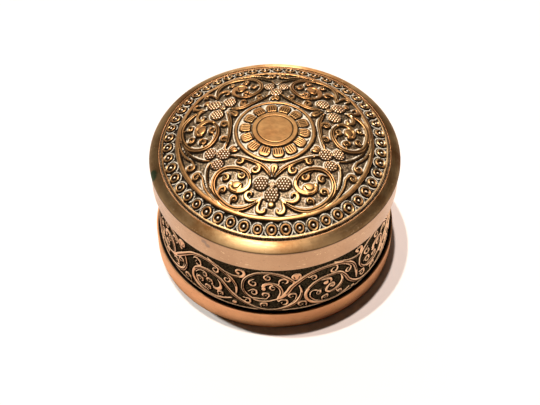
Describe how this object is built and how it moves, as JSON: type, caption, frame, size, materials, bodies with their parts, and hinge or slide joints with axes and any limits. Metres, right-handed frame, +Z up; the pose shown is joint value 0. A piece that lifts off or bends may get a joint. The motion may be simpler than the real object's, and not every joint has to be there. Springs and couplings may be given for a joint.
{
  "type": "trinket box",
  "caption": "Round chased copper trinket box with a slip-on domed lid, beaded crown edge, scrollwork side band and plain base ring.",
  "frame": {"origin": "middle of the foot, on the surface the box stands on", "axes": "+Z up along the box's axis; the picture looks along +Y, so -Y is the front"},
  "size_m": [0.105, 0.105, 0.0673],
  "materials": {
    "chased_crown": "chased copper, dark recesses, pale residue beside the relief",
    "plain_lid_copper": "smooth handled copper, brown patina",
    "milled_wire": "fine milled copper wire",
    "rim_copper": "smooth rubbed copper, pinkish",
    "inside_copper": "plain dulled copper sheet",
    "chased_band": "chased copper on a blackened ground",
    "base_copper": "smooth rubbed copper"
  },
  "bodies": {
    "box": {"body_wall": "inside_copper", "body_collar": "inside_copper", "body_band": "chased_band", "base_ring": "base_copper", "base_plate": "base_copper"},
    "lid": {"lid_crown": "chased_crown", "lid_shoulder_ring": "plain_lid_copper", "lid_milled_wire": "milled_wire", "lid_rim_band": "rim_copper"}
  },
  "joints": [
    {"name": "lid_lift", "type": "slide", "parent": "box", "child": "lid", "axis": [0, 0, 1], "range_m": [0, 0.03]}
  ]
}
